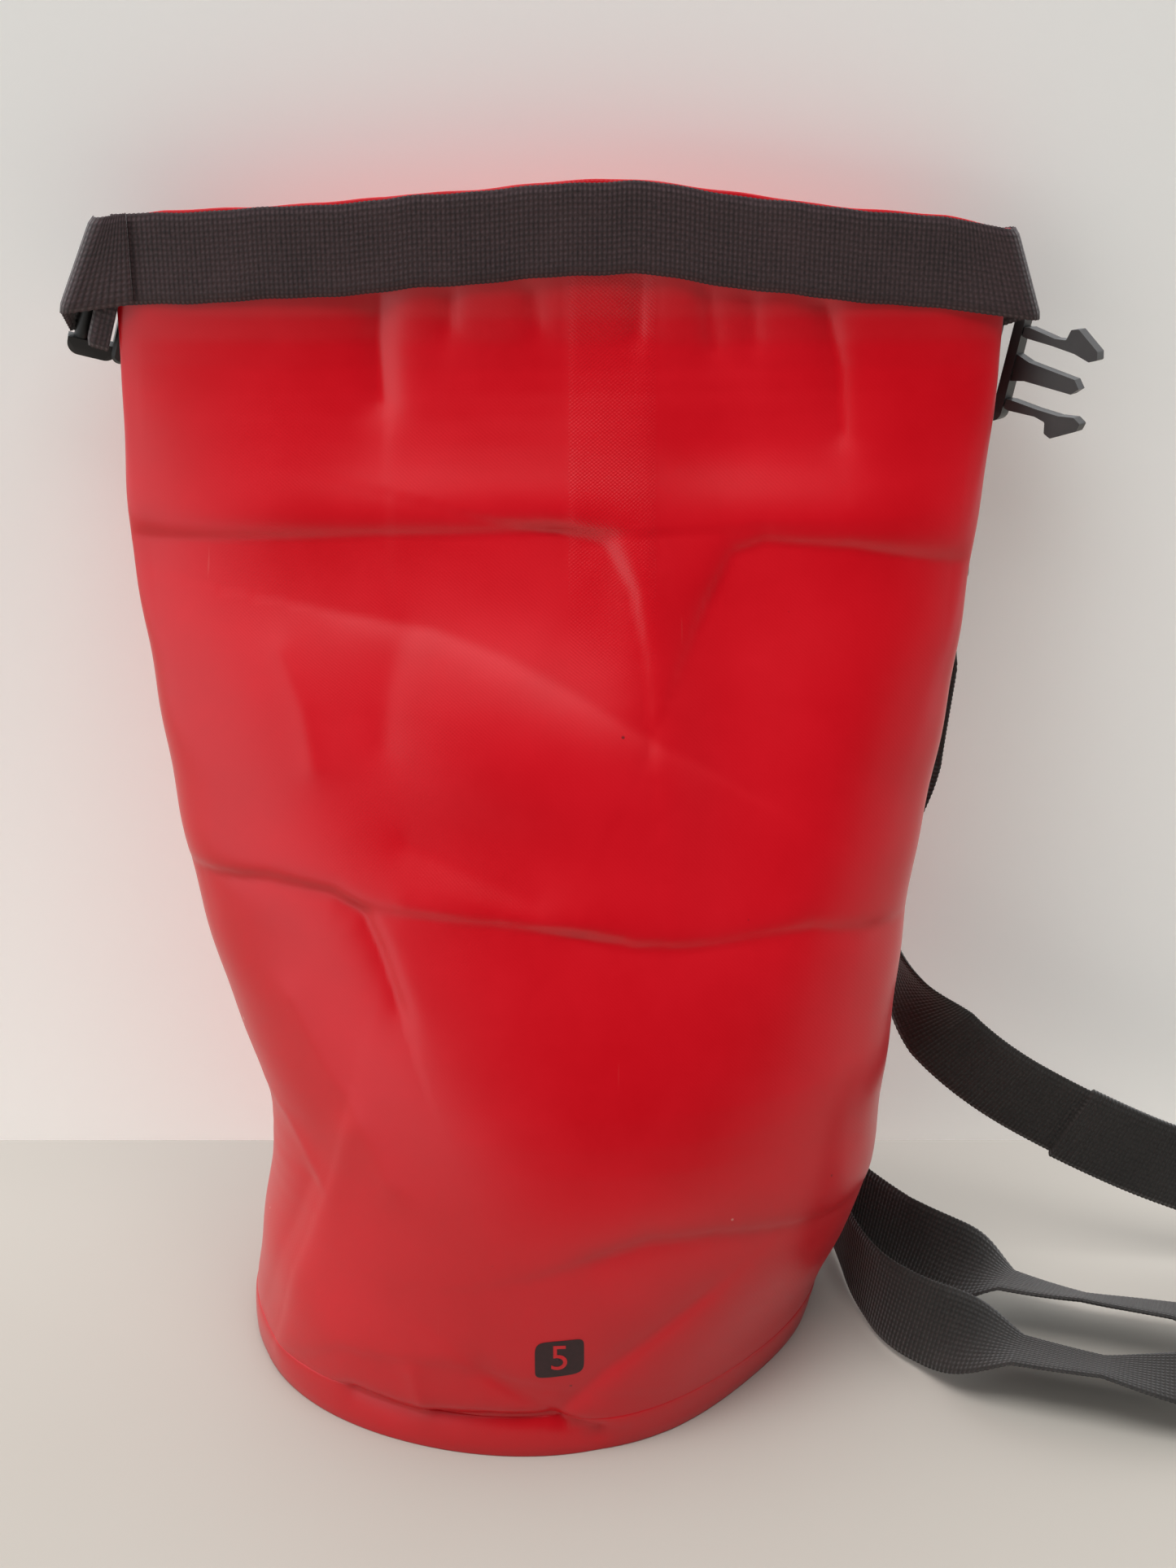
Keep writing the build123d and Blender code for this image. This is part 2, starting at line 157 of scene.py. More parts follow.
def tube_faces(rows, columns, joined=False):
    """Faces between rows of points that each run round; joined ties the last row to the first."""
    faces = []
    for r in range(rows if joined else rows - 1):
        s = (r + 1) % rows
        for k in range(columns):
            n = (k + 1) % columns
            faces.append((r * columns + k, r * columns + n, s * columns + n, s * columns + k))
    return faces


def smooth_line(points):
    """Points read from a NURBS spline whose control points these are, in metres."""
    curve = bpy.data.curves.new("route", "CURVE")
    curve.dimensions = "3D"
    spline = curve.splines.new("NURBS")
    spline.points.add(len(points) - 1)
    for control, point in zip(spline.points, points):
        control.co = (*point, 1.0)
    spline.order_u = 3
    spline.use_endpoint_u = True
    spline.resolution_u = 16
    holder = bpy.data.objects.new("route", curve)
    bpy.context.scene.collection.objects.link(holder)
    line = bpy.data.meshes.new_from_object(holder)
    read = np.array([v.co[:] for v in line.vertices])
    bpy.data.objects.remove(holder)
    bpy.data.meshes.remove(line)
    return read


def travelled(points):
    """How far along a line each of its points lies."""
    return np.concatenate([[0.0], np.cumsum(np.linalg.norm(np.diff(points, axis=0), axis=1))])


def spaced(points, step):
    """The same line with points an even step apart, and how far along each one is."""
    along = travelled(points)
    places = np.linspace(0, along[-1], max(3, int(along[-1] / step) + 1))
    line = np.stack([np.interp(places, along, points[:, i]) for i in range(3)], axis=1)
    return line, places


def webbing_mesh(name, line, across, material, body=None, width=25 * mm, thickness=1.5 * mm,
                 step=0.45 * mm, rib_relief=0.10 * mm, sheared=False, doubled=None):
    """A woven strip along a line, riding a body if one is named.

    across gives the direction of its width at shares of the way. A sheared strip takes each
    direction as it is, with its length as the width there. doubled is the share of the way from
    which, and to which, a second layer is sewn on the strip's face."""
    rib_pitch, edge_rib, selvedge, layer_spread = 1.35 * mm, 0.10 * mm, 0.9, 0.9 * mm
    points, places = spaced(np.asarray(line, float), step)
    count = len(points)
    tangent = np.gradient(points, axis=0)
    tangent /= np.linalg.norm(tangent, axis=1)[:, None]
    share = places / places[-1]
    stops = np.array([s for s, _ in across])
    ways = np.array([w for _, w in across], float)
    side = np.stack([np.interp(share, stops, ways[:, i]) for i in range(3)], axis=1)
    if not sheared:
        side -= (side * tangent).sum(1)[:, None] * tangent
        side *= width / np.linalg.norm(side, axis=1)[:, None]
    widths = np.linalg.norm(side, axis=1)[:, None]
    side = side / widths
    face = np.cross(tangent, side)
    face /= np.linalg.norm(face, axis=1)[:, None]
    layer = np.zeros((count, 1))
    if doubled:
        layer[:, 0] = ((share > doubled[0]) & (share < doubled[1])) * 1.0
    rib = np.sin(2 * pi * places / rib_pitch)[:, None]
    # Half the outline of the section, from edge to edge, goes over the top and back underneath.
    rows, squareness, thinnest = 14, 14, 0.12
    v = np.linspace(-1, 1, rows)
    bulge = np.maximum((1 - np.abs(v) ** squareness) ** 0.5, thinnest)
    verts, uvs = [], []
    for sign in (1, -1):
        for k in range(rows)[::sign]:
            frayed = rib * edge_rib * (abs(v[k]) > selvedge)
            edge = v[k] * (widths / 2 + frayed) + layer * layer_spread * v[k]
            lift = sign * (thickness / 2 * bulge[k] + rib * rib_relief) + (sign == 1) * layer * thickness
            verts.append(points + side * edge + face * lift)
            uvs.append(np.stack([places, np.full(count, v[k] * width / 2)], axis=1))
    ring = len(verts)
    grid = np.stack(verts, axis=1).reshape(-1, 3)
    uv = np.stack(uvs, axis=1).reshape(-1, 2)
    faces = tube_faces(count, ring)
    faces.append(tuple(range(ring - 1, -1, -1)))
    faces.append(tuple(range((count - 1) * ring, count * ring)))
    piece = mesh_piece(name, grid, faces, material, uv)
    if body:
        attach(piece, body)
    return piece


strap_black = webbing_material("woven_strap_polyester", "#171513", "#36332f", 1.3 * mm, 0.74, 0.07)
strap_route = [Vector(p) * mm for p in (
    (118, 57.5, 204), (115, 53, 182), (111, 44, 156), (110, 35, 130), (114, 28, 106), (125, 24, 84),
    (145, 21, 65), (172, 19, 49), (206, 15, 34), (246, 12, 23), (290, 12, 18), (326, 4, 17.6),
    (346, -18, 17.6), (338, -44, 17.6), (308, -55.9, 17.6), (270, -55.8, 17.6), (236, -46, 16.5),
    (200, -32, 14.5), (164, -22, 13.2), (134, -8, 14), (114, 12, 17), (102, 33, 17), (92, 44, 22))]
return_route = [Vector(p) * mm for p in (
    (275, -61.6, 17.6), (250, -64, 16.5), (222, -66, 14), (194, -62, 13), (164, -54, 13),
    (136, -44, 13), (114, -30, 13.4), (104, -8, 14), (101, 14, 15), (97, 33, 16), (89, 46, 22))]
strap_line = smooth_line(strap_route)
return_line = smooth_line(return_route)
# Near the upper ring the strap hangs a little clear of the bag's side.
strap_share = travelled(strap_line)
strap_share /= strap_share[-1]
clear_from, back_from, back_at = 0.02, 0.09, 0.14
hung_out = (np.clip(strap_share / clear_from, 0, 1)
            * np.clip((back_at - strap_share) / (back_at - back_from), 0, 1))
clear_of_side = np.array((4.6, -1.0, 0)) * mm
ribs_low = 0.05 * mm
strap = webbing_mesh(
    "strap_long", strap_line + hung_out[:, None] * clear_of_side,
    [(0, (0.92, -0.39, 0)), (0.065, (0.88, -0.45, 0)), (0.1, (0.2, -1, 0.05)), (0.14, (0, -1, 0.2)),
     (0.165, (0.1, -0.7, 0.8)), (0.2, (0.3, -0.1, 1)), (0.26, (0.2, 0, 1)), (0.34, (0, 0.1, 1)),
     (0.7, (0, 0.2, 1)), (0.76, (0, 0.8, 0.3)), (0.80, (0, 0.85, -0.4)), (0.84, (0, 0.85, -0.5)),
     (0.875, (0, 0.9, -0.3)), (0.905, (0, 0.7, 0.8)), (0.93, (0.1, 0.2, 1)), (0.97, (0.1, 0.1, 1)),
     (1, (0.74, -0.67, 0.4))],
    strap_black, doubled=(0.276, 0.36), rib_relief=ribs_low)
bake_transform(strap)
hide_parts("strap_main")
strap_return = webbing_mesh(
    "strap_doubled_end", return_line,
    [(0, (0, 0, 1)), (0.15, (0, 0.4, 1)), (0.3, (0, 0.9, 0.1)), (0.42, (0, 0.85, -0.35)),
     (0.52, (0.1, 0.9, -0.25)), (0.63, (0, 0.6, 0.9)), (0.74, (0, 0.3, 1)), (0.9, (0, 0, 1)),
     (1, (0.74, -0.67, 0.4))],
    strap_black, "bag", rib_relief=ribs_low)
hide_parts("strap_return")

# ---------------------------------------------------------------- bag sheet
# The body: PVC-coated polyester tarpaulin, one sheet wrapped round and welded up the front, its
# mouth hemmed. It stands on its foot, round below and flat above, and keeps the creases it was
# packed with.
levels = np.array([  # height, centre x, centre y, half width, half depth
    (0, 4, -6, 86, 74), (10, 6, -7.6, 87.6, 72.5), (20, 8.2, -9, 88.6, 71), (37, 12.2, -9.4, 89.8, 69.4),
    (62, 16.6, -9, 90.4, 67), (71, 18, -8.4, 89.6, 66), (88, 17, -6.2, 91.8, 63.5), (103, 15, -4, 96, 60),
    (121, 12.4, 0.4, 100, 55), (149, 10.4, 7.8, 105.6, 47), (172, 10.8, 14.8, 110.4, 40.5),
    (201, 11.2, 24.2, 115.8, 32.8), (237, 10.6, 36, 121.6, 21), (250, 11.4, 40.2, 122.8, 17),
    (272, 12.8, 47, 124.6, 10.4), (291, 13.2, 52, 125.4, 6.6), (345, 13.2, 52, 126, 6.6)], float)
strip_top = np.array([  # x and height of the closure strip's upper edge
    (-114, 325.5), (-107, 326.2), (-80, 327.9), (-50, 329.9), (-35, 331.0), (-29, 332.1),
    (-7, 333.8), (16, 335.8), (33, 336.5), (38, 336.1), (60, 332.6), (84, 329.4), (107, 327.0),
    (120, 325.6), (142, 322.9)], float)
fold_height = 291.0


def eased(x, xs, ys):
    """Straight interpolation, softened a little at the corners."""
    reach = 3.0
    return sum(np.interp(x + d, xs, ys) * w for d, w in ((-reach, 0.2), (0, 0.6), (reach, 0.2)))


def level_at(height):
    """Centre x, centre y, half width and half depth at a height, with no corner from level to level."""
    spread = ((-13, 0.12), (-7, 0.22), (0, 0.32), (7, 0.22), (13, 0.12))
    return [sum(np.interp(height + d, levels[:, 0], column) * w for d, w in spread)
            for column in levels.T[1:]]


def fold_field(x, z, folds):
    """Outward push at x and height from a list of folds, in millimetres."""
    push = np.zeros_like(x)
    for line, height, width, step, edge in folds:
        line = np.array(line, float)
        nearest = np.full_like(x, 1e9)
        side = np.zeros_like(x)
        for a, b in zip(line, line[1:]):
            d = b - a
            t = np.clip(((x - a[0]) * d[0] + (z - a[1]) * d[1]) / (d @ d), 0, 1)
            dx, dz = x - a[0] - t * d[0], z - a[1] - t * d[1]
            gap = np.hypot(dx, dz)
            closer = gap < nearest
            nearest = np.where(closer, gap, nearest)
            turn = (d[0] * dz - d[1] * dx) / np.hypot(*d)
            side = np.where(closer, turn, side)
        soft = np.sqrt(nearest ** 2 + edge ** 2) - edge
        push += height * np.exp(-soft / width)
        if step:
            # The lifted side rolls over into a sharp corner, and the dropped side comes out slowly.
            corner, lifted_reach, dropped_reach = 2.6, 1.9, 3.4
            above = side * np.sign(step)
            roll = np.where(above > 0, 1 - 2 * np.exp(-np.maximum(above, 0) / (edge * corner)), -1.0)
            reach = width * np.where(above < 0, dropped_reach, lifted_reach)
            push += abs(step) * roll * np.exp(-soft / reach)
    return push


def dent_field(x, z, dents):
    """Outward push from broad bumps and hollows: x, height, spread x, spread z, turn, amount."""
    push = np.zeros_like(x)
    for cx, cz, sx, sz, turn, amount in dents:
        c, s = cos(radians(turn)), sin(radians(turn))
        u = ((x - cx) * c + (z - cz) * s) / sx
        w = (-(x - cx) * s + (z - cz) * c) / sz
        push += amount * np.exp(-(u * u + w * w) / 2)
    return push


# Creases: a line of x and height, its rise, its breadth, its step and how rounded it is. A step
# lifts what lies to the left of the line's direction and drops what lies to its right.
front_folds = [
    ([(-118, 238), (-76, 240), (-30, 242), (12, 243)], 0.0, 9, 1.5, 2.2),
    ([(12, 243), (26, 240), (33, 229), (36, 214), (38, 197)], 0.0, 6, 1.3, 1.8),
    ([(56, 226), (62, 237), (71, 240), (96, 238), (132, 231)], 0.0, 8, 1.3, 2.0),
    ([(-46, 222), (-22, 219), (-2, 213), (18, 204), (38, 193)], 0.0, 9, -0.8, 2.2),
    ([(-31, 217), (-35, 205), (-36, 192)], -1.2, 8, 0, 2.2),
    ([(-65, 213), (-59, 200), (-56, 186)], 0.8, 5, 0, 1.4),
    ([(-29, 167), (-13, 162), (6, 155)], -0.9, 6, 0, 1.4),
    ([(-30, 151), (-6, 149.5), (17, 147)], 0.9, 5, 1.2, 1.0),
    ([(17, 147), (34, 143), (50, 142), (84, 143), (114, 136)], -0.4, 5, 0.7, 1.2),
    ([(-97, 150), (-69, 155), (-50, 154), (-41, 150), (-36, 141), (-31, 128)], -0.5, 3, 1.2, 0.9),
    ([(-62, 124), (-54, 109), (-44, 98), (-34, 80)], 1.3, 7, 0, 1.4),
    ([(-73, 90), (-66, 85), (-61, 79), (-55, 71)], 1.0, 3, 0, 0.8),
    ([(-48, 93), (-54, 71), (-65, 41), (-73, 10)], 1.3, 3.4, 1.1, 1.0),
    ([(-58, 70), (-69, 41), (-77, 14)], -1.4, 3.5, 0, 1.0),
    ([(24, 65), (38, 69), (56, 68), (85, 62), (103, 57)], -0.7, 6, 1.1, 1.3),
    ([(-8, 28), (12, 14), (26, 28), (54, 48)], -1.1, 5, -0.6, 1.2),
    ([(-46, 12), (-31, 11), (-7, 13), (11, 13), (24, 8)], -1.6, 2.6, 1.2, 0.8),
    ([(-73, 8), (-50, 25), (-19, 29), (2, 25)], 0.6, 6, 0.6, 1.2),
    ([(-29, 25), (-26, 12)], 0.9, 2.6, 0, 0.8),
    ([(-37, 305), (-38, 291), (-37, 276)], -2.2, 5, 0.8, 1.6),
    ([(-17, 306), (-18, 296)], -0.9, 3.5, 0.3, 1.2), ([(5, 306), (6, 296)], -0.9, 3.5, -0.3, 1.2),
    ([(36, 309), (35, 294)], -1.3, 3.5, 0.3, 1.2), ([(54, 307), (56, 290)], -1.2, 4, -0.4, 1.4),
    ([(67, 304), (68, 292)], -0.8, 4, 0.3, 1.4), ([(88, 301), (92, 284), (93, 268)], -1.5, 5, 0.5, 1.6),
    ([(15.5, 309), (15.5, 236)], 0.0, 0.9, 0.22, 0.5), ([(40, 309), (40, 236)], 0.0, 0.9, -0.22, 0.5),
]
front_dents = [
    (-10, 222, 38, 14, -4, -1.8), (24, 216, 14, 13, -40, -1.6), (-75, 226, 26, 11, 0, -1.5),
    (100, 222, 22, 10, 0, -1.4), (60, 205, 13, 26, 8, -3.8),
    (62, 168, 16, 28, 0, -2.6), (2, 193, 26, 14, -12, 1.8), (35, 228, 5, 16, 4, 1.6),
    (-30, 249, 40, 6, 2, 1.0),
    (95, 247, 26, 6, -4, 0.9), (-36, 262, 16, 14, 20, -1.2), (58, 262, 14, 8, 0, -1.6),
    (-78, 275, 20, 18, 0, 0.8),
    (100, 272, 16, 20, 0, 0.8), (28, 275, 10, 26, 0, 0.9), (-78, 190, 18, 34, 0, 1.2),
    (100, 190, 14, 40, 0, 1.0), (-64, 118, 18, 30, 25, -2.4), (-8, 168, 26, 8, -8, -1.2),
    (40, 110, 30, 30, 0, 1.2), (-20, 60, 30, 22, 0, 1.0), (60, 34, 24, 16, 20, 1.0),
    (-60, 25, 16, 18, 0, 1.6), (88, 80, 12, 24, 0, 1.0),
]
back_folds = [
    ([(-100, 196), (-40, 190), (30, 194), (110, 200)], -1.0, 9, 0.8, 2.0),
    ([(-98, 140), (-30, 150), (40, 146), (104, 138)], -0.9, 10, -0.7, 2.0),
    ([(-92, 90), (-50, 84), (0, 88), (50, 82)], -0.6, 8, 0.5, 1.6),
    ([(-20, 300), (-22, 270), (-10, 240)], -0.7, 6, 0, 2.0), ([(60, 302), (58, 268)], -0.7, 6, 0, 2.0),
    ([(-60, 16), (-10, 14), (40, 15)], -0.8, 3, 0.6, 1.0),
]
back_dents = [(0, 168, 60, 16, 0, -2.6), (-40, 120, 26, 18, 15, 1.4), (50, 100, 22, 24, 0, -1.2),
              (0, 240, 50, 20, 0, -0.9)]

around = 360
front_count = 232
turns = np.concatenate([np.linspace(0, pi, front_count, endpoint=False),
                        np.linspace(pi, 2 * pi, around - front_count, endpoint=False)])
body_rows = np.arange(0.5, fold_height, 1.25)
hem_rows = np.linspace(0, 1, 34)
# Low down, the sheet is drawn in towards the front right: by what share, below what height and
# over what rise, and about which turn and how far to each side of it.
drawn_share, drawn_below, drawn_rise, drawn_turn, drawn_spread = 0.088, 62, 44, 0.62, 0.55


def sheet_points(turn, height, out=0.0):
    """Points on the bag sheet, for turns about its middle (0 right crease, pi left) and heights."""
    x0, y0, a, b = level_at(height)
    low = np.clip((drawn_below - height) / drawn_rise, 0, 1)
    aside = ((turn + 0.2) % (2 * pi) - 0.2 - drawn_turn) / drawn_spread
    drawn_in = 1 - drawn_share * np.exp(-aside ** 2) * low * low * (3 - 2 * low)
    x = x0 + (a + out) * np.cos(turn) * drawn_in
    depth = np.sin(turn) * drawn_in
    front = depth > 0
    # Creases die out at the side creases, and dents get shallower where the bag is thin.
    fading, shallowest, flat, filled = 3.2, 0.25, 3.0, 11.0
    clear = np.clip(np.abs(depth) * fading, 0, 1) ** 0.8
    thin = np.clip((b - flat) / (filled - flat), shallowest, 1)
    push_front = fold_field(x, height, front_folds) + dent_field(x, height, front_dents) * thin
    push_back = fold_field(x, height, back_folds) + dent_field(x, height, back_dents) * thin
    push = np.where(front, push_front, push_back) * clear
    y = y0 - (b + out) * depth - np.where(front, push, -push)
    # The outline wavers by a quarter of a millimetre, about every 30 mm up the bag.
    wander = 0.25 * np.sin(height * 0.21 + np.cos(turn) * 7) * np.clip(b / 30.0, 0, 1)
    return np.stack([x + wander * np.cos(turn), y, height], axis=-1)


grid_turn, grid_height = np.meshgrid(turns, body_rows)
body_points = sheet_points(grid_turn, grid_height)
hem_turn, hem_share = np.meshgrid(turns, hem_rows)
hem_half_width = 125.6
hem_x = level_at(np.full_like(hem_turn, 300.0))[0] + hem_half_width * np.cos(hem_turn)
ripple = 0.2 * np.sin(hem_x * 0.12) + 0.14 * np.sin(hem_x * 0.31 + 1)
hem_back = np.clip(-np.sin(hem_turn), 0, 1)
# The hem just tops the strip in front, and lies lower at the back and at both ends.
over_strip, back_drop, end_drop, back_bow = 0.2, 3.2, 1.5, 5.5
hem_top = eased(hem_x, strip_top[:, 0], strip_top[:, 1]) + over_strip + ripple - back_drop * hem_back
hem_top -= end_drop * np.clip((np.abs(hem_x - 12) - 108) / 16, 0, 1)
hem_height = fold_height + (hem_top - fold_height) * hem_share
hem_points = sheet_points(hem_turn, hem_height)
hem_points[..., 1] -= back_bow * hem_share ** 2 * hem_back
rows = np.concatenate([body_points, hem_points[1:]], axis=0)


def tarpaulin_material():
    """PVC-coated polyester tarpaulin: a satin red skin over a fine scrim that just shows through."""
    material, tree, shader = start_material("red_pvc_tarpaulin")
    place = add_node(tree, "ShaderNodeUVMap", uv_map="UVMap")
    split = add_node(tree, "ShaderNodeSeparateXYZ", links={0: place.outputs[0]})
    thread = 1.1 * mm  # drawn a little coarser than the real scrim, so that it just shows
    warp = sine_of(tree, split.outputs["X"], thread)
    weft = sine_of(tree, split.outputs["Y"], thread)
    scrim = add_node(tree, "ShaderNodeMath", links={0: warp, 1: weft}, operation="MULTIPLY").outputs[0]
    where = add_node(tree, "ShaderNodeTexCoord").outputs["Object"]
    spot = add_node(tree, "ShaderNodeSeparateXYZ", links={0: where})
    # The welded overlap down the upper front, where two layers press the scrim into the skin.
    seam_x, seam_half = 27.8 * mm, 12.2 * mm
    seam = add_node(tree, "ShaderNodeMath", {1: seam_x, 2: seam_half}, {0: spot.outputs["X"]},
                    operation="COMPARE")
    upper = add_node(tree, "ShaderNodeMapRange", {"From Min": 205 * mm, "From Max": 245 * mm},
                     {"Value": spot.outputs["Z"]})
    overlap = add_node(tree, "ShaderNodeMath", links={0: seam.outputs[0], 1: upper.outputs[0]},
                       operation="MULTIPLY")
    pressed = add_node(tree, "ShaderNodeMath", {1: 0.8, 2: 0.2}, {0: overlap.outputs[0]},
                       operation="MULTIPLY_ADD")
    weave = add_node(tree, "ShaderNodeMath", links={0: scrim, 1: pressed.outputs[0]}, operation="MULTIPLY")
    # The skin's own grain is 0.7 mm, and where it has gone dull shows in clouds 60 mm wide.
    grain = add_node(tree, "ShaderNodeTexNoise", {"Scale": 1400.0, "Detail": 4.0}, {"Vector": where})
    cloud = add_node(tree, "ShaderNodeTexNoise", {"Scale": 16.0, "Detail": 5.0, "Roughness": 0.6},
                     {"Vector": where})
    mottle = add_node(tree, "ShaderNodeMath", {1: 0.10}, {0: weave.outputs[0], 2: cloud.outputs[0]},
                      operation="MULTIPLY_ADD")
    bloom = add_node(tree, "ShaderNodeValToRGB", links={0: mottle.outputs[0]})
    bloom.color_ramp.elements[0].position = 0.3
    bloom.color_ramp.elements[0].color = linear("#cc0012")
    bloom.color_ramp.elements[1].position = 0.75
    bloom.color_ramp.elements[1].color = linear("#dc061c")
    # Specks where the skin is nicked and the pale scrim shows, then dark flecks of grit: each up
    # to about 1 mm across and 25 mm from the next.
    coat = bloom.outputs[0]
    moved = add_node(tree, "ShaderNodeVectorMath", {1: (0.313, 0.171, 0.257)}, {0: where},
                     operation="ADD")
    for at, scale, small, large, strength, colour in (
            (where, 42.0, 0.014, 0.026, 0.7, "#e8b4a4"),
            (moved.outputs[0], 38.0, 0.012, 0.024, 0.8, "#3a0a0c")):
        flecks = add_node(tree, "ShaderNodeTexVoronoi", {"Scale": scale}, {"Vector": at})
        marked = add_node(tree, "ShaderNodeMapRange",
                          {"From Min": small, "From Max": large, "To Min": strength, "To Max": 0.0},
                          {"Value": flecks.outputs["Distance"]})
        coat = add_node(tree, "ShaderNodeMix", {7: linear(colour)}, {0: marked.outputs[0], 6: coat},
                        data_type="RGBA").outputs[2]
    # Fine scuffs: short pale lines that only lie where the bag has been dragged.
    stretched = add_node(tree, "ShaderNodeMapping",
                         {"Rotation": (0.0, 0.5, 0.0), "Scale": (900.0, 60.0, 14.0)}, {"Vector": where})
    lines = add_node(tree, "ShaderNodeTexNoise", {"Scale": 1.0, "Detail": 1.0},
                     {"Vector": stretched.outputs[0]})
    scuffed = add_node(tree, "ShaderNodeMapRange",
                       {"From Min": 0.79, "From Max": 0.86, "To Min": 0.0, "To Max": 0.22},
                       {"Value": lines.outputs[0]})
    coat = add_node(tree, "ShaderNodeMix", {7: linear("#e88478")}, {0: scuffed.outputs[0], 6: coat},
                    data_type="RGBA").outputs[2]
    tree.links.new(coat, shader.inputs["Base Color"])
    haze = add_node(tree, "ShaderNodeMapRange",
                    {"From Min": 0.3, "From Max": 0.7, "To Min": 0.3, "To Max": 0.38},
                    {"Value": cloud.outputs[0]})
    tree.links.new(haze.outputs[0], shader.inputs["Roughness"])
    height = add_node(tree, "ShaderNodeMath", {1: 0.5}, {0: grain.outputs[0], 2: weave.outputs[0]},
                      operation="MULTIPLY_ADD")
    bump = add_node(tree, "ShaderNodeBump", {"Strength": 0.3, "Distance": 0.08 * mm},
                    {"Height": height.outputs[0]})
    tree.links.new(bump.outputs[0], shader.inputs["Normal"])
    shader.inputs["IOR"].default_value = 1.55
    shader.inputs["Sheen Weight"].default_value = 0.04
    shader.inputs["Sheen Roughness"].default_value = 0.4
    return material


tarpaulin = tarpaulin_material()


def wall_solid(name, grid, thickness, material, uv):
    """A closed tube of cloth from rows of points that run round the bag, given its thickness."""
    rows, columns = grid.shape[:2]
    along = np.gradient(grid, axis=0)
    wide = np.concatenate([grid[:, -1:], grid, grid[:, :1]], axis=1)
    across = (wide[:, 2:] - wide[:, :-2]) / 2
    normal = np.cross(along, across)
    normal /= np.maximum(np.linalg.norm(normal, axis=2), 1e-9)[:, :, None]
    inner = grid - normal * thickness
    points = np.concatenate([grid, inner[::-1]], axis=0).reshape(-1, 3) * mm
    coordinates = np.concatenate([uv, uv[::-1]], axis=0).reshape(-1, 2) * mm
    return mesh_piece(name, points, tube_faces(rows * 2, columns, joined=True), material, coordinates)


def lengths_along(grid):
    """How far round and how far up each point of a grid lies."""
    u = np.broadcast_to(travelled(grid[len(grid) // 2]), grid.shape[:2])
    v = np.broadcast_to(travelled(grid[:, grid.shape[1] // 3])[:, None], grid.shape[:2])
    return np.stack([u, v], axis=-1)


sheet_thickness = 0.6
sheet = wall_solid("bag_sheet", rows, sheet_thickness, tarpaulin, lengths_along(rows))
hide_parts("front_wall", "back_wall", "front_hem", "back_hem")
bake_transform(sheet)

# ---------------------------------------------------------------- size badge
# A small rounded label screen-printed in black ink low on the front, with the bag's litres left
# bare in it, so the red skin shows through as the numeral. The ink has a 1.4 mm mottle.
badge_x, badge_z = 13.0, 34.0
ink, ink_tree, ink_shader = start_material("black_screen_ink")
ink_grain = add_node(ink_tree, "ShaderNodeTexNoise", {"Scale": 700.0, "Detail": 5.0},
                     {"Vector": add_node(ink_tree, "ShaderNodeTexCoord").outputs["Object"]})
ink_tone = add_node(ink_tree, "ShaderNodeValToRGB", links={0: ink_grain.outputs[0]})
ink_tone.color_ramp.elements[0].color = linear("#200a0e")
ink_tone.color_ramp.elements[1].color = linear("#3c1a1f")
ink_tree.links.new(ink_tone.outputs[0], ink_shader.inputs["Base Color"])
ink_shader.inputs["Roughness"].default_value = 0.42


def on_front(x, height, lift):
    """A point on the bag's front at x and height, lifted off it."""
    row = sheet_points(np.linspace(pi - 0.2, 0.2, 300), np.full(300, height))
    return x, float(np.interp(x, row[:, 0], row[:, 1])) - lift, height


badge_points = []
badge_rings, badge_spokes = 7, 72
badge_half_width, badge_half_height, badge_slope, ink_lift = 6.9, 5.9, 0.5, 0.10
for ring in range(badge_rings):
    for k in range(badge_spokes):
        angle = 2 * pi * k / badge_spokes
        c, d = cos(angle), sin(angle)
        power = 5.0 if c * d < 0 else 9.0  # two of the corners are rounder than the others
        spread = (abs(c) ** power + abs(d) ** power) ** (-1 / power) * (ring + 0.02) / (badge_rings - 0.98)
        x = badge_x + badge_half_width * c * spread
        z = badge_z + (badge_half_height * d + badge_slope * c) * spread
        badge_points.append(on_front(x, z, ink_lift))
badge_faces = tube_faces(badge_rings, badge_spokes)
badge_faces.append(tuple(range(badge_spokes)))
badge = mesh_piece("size_badge", np.array(badge_points) * mm, badge_faces, ink)
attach(badge, "bag")
letters = bpy.data.curves.new("numeral", "FONT")
letters.body = "5"
letters.size = 11.5 * mm
letters.align_x, letters.align_y = "CENTER", "CENTER"
letters.resolution_u = 6
letters_holder = bpy.data.objects.new("numeral", letters)
bpy.context.scene.collection.objects.link(letters_holder)
flat = bpy.data.meshes.new_from_object(letters_holder)
skin_lift = 0.17
numeral_points = [on_front(badge_x + v.co.x / mm, badge_z + v.co.y / mm, skin_lift) for v in flat.vertices]
numeral_faces = [tuple(face.vertices) for face in flat.polygons]
bpy.data.objects.remove(letters_holder)
numeral = mesh_piece("size_numeral", np.array(numeral_points) * mm, numeral_faces, tarpaulin,
                     np.array(numeral_points)[:, (0, 2)] * mm)
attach(numeral, "bag")

# ---------------------------------------------------------------- foot
# A round of the same tarpaulin with a band of it welded outside the wall's lower edge.
band_thickness, band_wave = 0.35, 0.35
band_profile = [  # how far out of the wall, and how high
    (0.0, 0.2), (0.4, 0.0), (0.6, 0.5), (0.6, 4.0), (0.5, 7.5), (0.4, 10.2), (0.2, 11.4), (-0.1, 12.2)]
band_rows = []
for out, height in band_profile:
    wave = band_wave * np.sin(turns * 9) if height > 10 else 0.0
    band_rows.append(sheet_points(turns, np.full_like(turns, height) + wave, out))
band_grid = np.stack(band_rows)
rim = wall_solid("foot_band", band_grid, band_thickness, tarpaulin, lengths_along(band_grid))
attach(rim, "bag")
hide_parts("base_rim")

